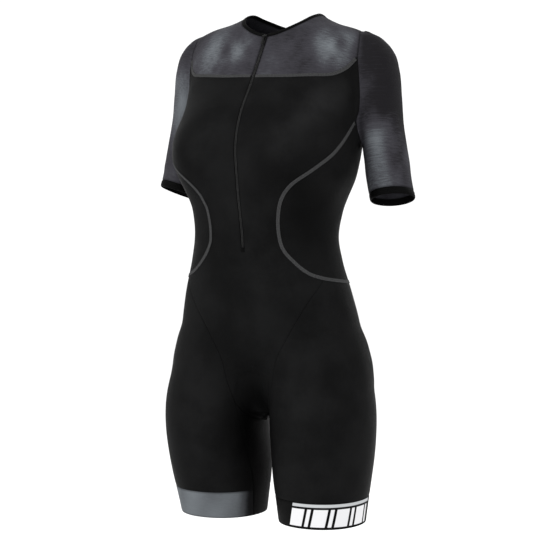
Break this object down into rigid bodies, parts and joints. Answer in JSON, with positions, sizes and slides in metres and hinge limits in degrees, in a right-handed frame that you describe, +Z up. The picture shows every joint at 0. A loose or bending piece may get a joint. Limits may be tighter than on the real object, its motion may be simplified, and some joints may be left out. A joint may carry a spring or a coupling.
{
  "type": "triathlon suit",
  "caption": "Short-sleeved one-piece triathlon suit with a front zip, grey yoke and sleeves, curved side panels and mid-thigh legs, in its worn hollow form.",
  "frame": {"origin": "middle of the neck hole, level with the side neck points, where the wearer's neck and shoulders hold the suit", "axes": "+Z up, the chest and zip face -Y, +X is the wearer's left"},
  "size_m": [0.4648, 0.2662, 0.8285],
  "materials": {
    "black_knit": "smooth black stretch knit with a soft sheen",
    "heather_knit": "grey heather stretch knit, cloudy from dark to light",
    "grey_band": "grey elastic leg band",
    "black_band": "black elastic leg band with a printed row of plain bars",
    "flatlock_tape": "grey flatlock stitching",
    "binding_knit": "black elastic binding",
    "zip_teeth": "dark grey coil zip",
    "zip_metal": "black satin",
    "pad": "dark brushed fleece over foam"
  },
  "bodies": {
    "suit": {"back_body": "black_knit", "cuff_left": "binding_knit", "cuff_right": "binding_knit", "front_body": "black_knit", "leg_band_left": "black_band", "leg_band_right": "grey_band", "leg_gusset_left": "black_knit", "leg_gusset_right": "black_knit", "leg_left": "black_knit", "leg_right": "black_knit", "neck_binding": "binding_knit", "seat_pad": "pad", "side_cover_left": "flatlock_tape", "side_cover_right": "flatlock_tape", "side_panel_left": "black_knit", "side_panel_right": "black_knit", "sleeve_left": "heather_knit", "sleeve_right": "heather_knit", "yoke": "heather_knit", "yoke_cover_left": "flatlock_tape", "yoke_cover_right": "flatlock_tape", "zip_slider": "zip_metal", "zip_tack": "zip_teeth", "zip_tape": "black_knit", "zip_teeth": "zip_teeth"},
    "pull_tab": {"pull_tab": "zip_metal"}
  },
  "joints": [
    {"name": "pull_tab_hinge", "type": "hinge", "parent": "suit", "child": "pull_tab", "pos_m": [0, -0.08139, -0.04745], "axis": [-1, 0, 0], "range_deg": [0, 150]}
  ]
}
